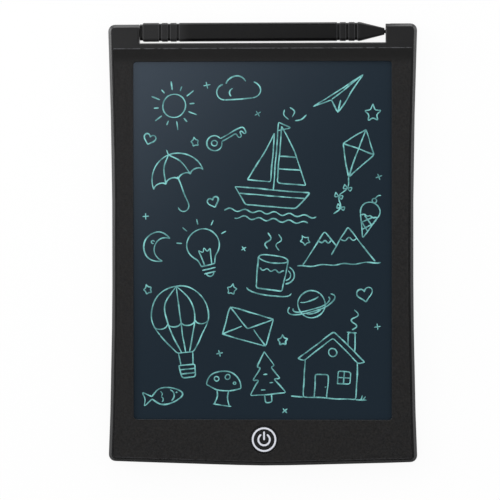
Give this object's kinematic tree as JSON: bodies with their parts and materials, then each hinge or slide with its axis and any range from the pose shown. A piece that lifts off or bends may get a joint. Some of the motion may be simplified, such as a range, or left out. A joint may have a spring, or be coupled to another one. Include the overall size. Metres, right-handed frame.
{
  "type": "lcd writing tablet",
  "caption": "Flat pressure-sensitive writing tablet with a raised front panel, an erase button in its chin, a flat stylus held between two ears, and a battery door and lock slider in its back.",
  "frame": {"origin": "middle of the casing's back face, which the tablet lies on", "axes": "+X to the right seen from the front, +Y along the tablet towards the stylus, +Z out of the screen"},
  "size_m": [0.151, 0.2167, 0.0056],
  "materials": {
    "casing": "moulded ABS with a fine spark texture, satin",
    "front_panel": "moulded polycarbonate sheet with a fine matte grain",
    "button": "moulded ABS, matte",
    "stylus": "moulded ABS, satin",
    "nib": "polished acetal",
    "writing_film": "hard-coated polyester film, satin gloss",
    "crystal_layer": "polymer and liquid crystal layer",
    "black_film": "black polyester film",
    "adhesive": "double-sided tape",
    "flex_film": "polyimide film",
    "board_laminate": "glass-fibre laminate with solder mask",
    "connector_plastic": "moulded nylon",
    "chip_resin": "moulded epoxy resin",
    "ceramic": "fired ceramic",
    "spring_steel": "plated spring steel",
    "cell_steel": "bright stainless steel",
    "screw_steel": "zinc-plated steel"
  },
  "bodies": {
    "casing": {"back_cover": "casing", "front_frame": "casing", "bezel_overlay": "front_panel", "overlay_adhesive": "adhesive", "lcd_front_film": "writing_film", "lcd_crystal_layer": "crystal_layer", "lcd_back_film": "black_film", "lcd_adhesive_sheet": "adhesive", "lcd_flex_tail": "flex_film", "flex_connector": "connector_plastic", "main_board": "board_laminate", "board_screw_left": "screw_steel", "board_screw_right": "screw_steel", "controller_chip": "chip_resin", "boost_inductor": "chip_resin", "input_capacitor": "ceramic", "output_capacitor": "ceramic", "timing_resistor": "chip_resin", "pull_up_resistor": "chip_resin", "boost_diode": "chip_resin", "erase_switch_base": "chip_resin", "snap_dome": "spring_steel", "erase_switch_cover": "spring_steel", "coin_cell": "cell_steel", "battery_negative_contact": "spring_steel", "battery_positive_contact": "spring_steel", "lock_switch_body": "chip_resin"},
    "erase_key": {"erase_button": "button", "erase_switch_plunger": "connector_plastic"},
    "lock": {"lock_slider": "button", "lock_switch_lever": "connector_plastic"},
    "door": {"battery_door": "casing", "battery_screw": "screw_steel"},
    "stylus": {"stylus_barrel": "stylus", "stylus_nib": "nib", "stylus_end_plug": "nib"}
  },
  "joints": [
    {"name": "erase_press", "type": "slide", "parent": "casing", "child": "erase_key", "axis": [0, 0, -1], "range_m": [0, 0.00025], "stiffness_N_per_m": 2000, "springref_m": -0.0003, "deforming": ["snap_dome"]},
    {"name": "lock_slide", "type": "slide", "parent": "casing", "child": "lock", "axis": [1, 0, 0], "range_m": [0, 0.002]},
    {"name": "door_hinge", "type": "hinge", "parent": "casing", "child": "door", "pos_m": [0, -0.07168, 0], "axis": [1, 0, 0], "range_deg": [0, 60]},
    {"name": "stylus_pull", "type": "slide", "parent": "casing", "child": "stylus", "axis": [0, 1, 0], "range_m": [0, 0.03]}
  ]
}
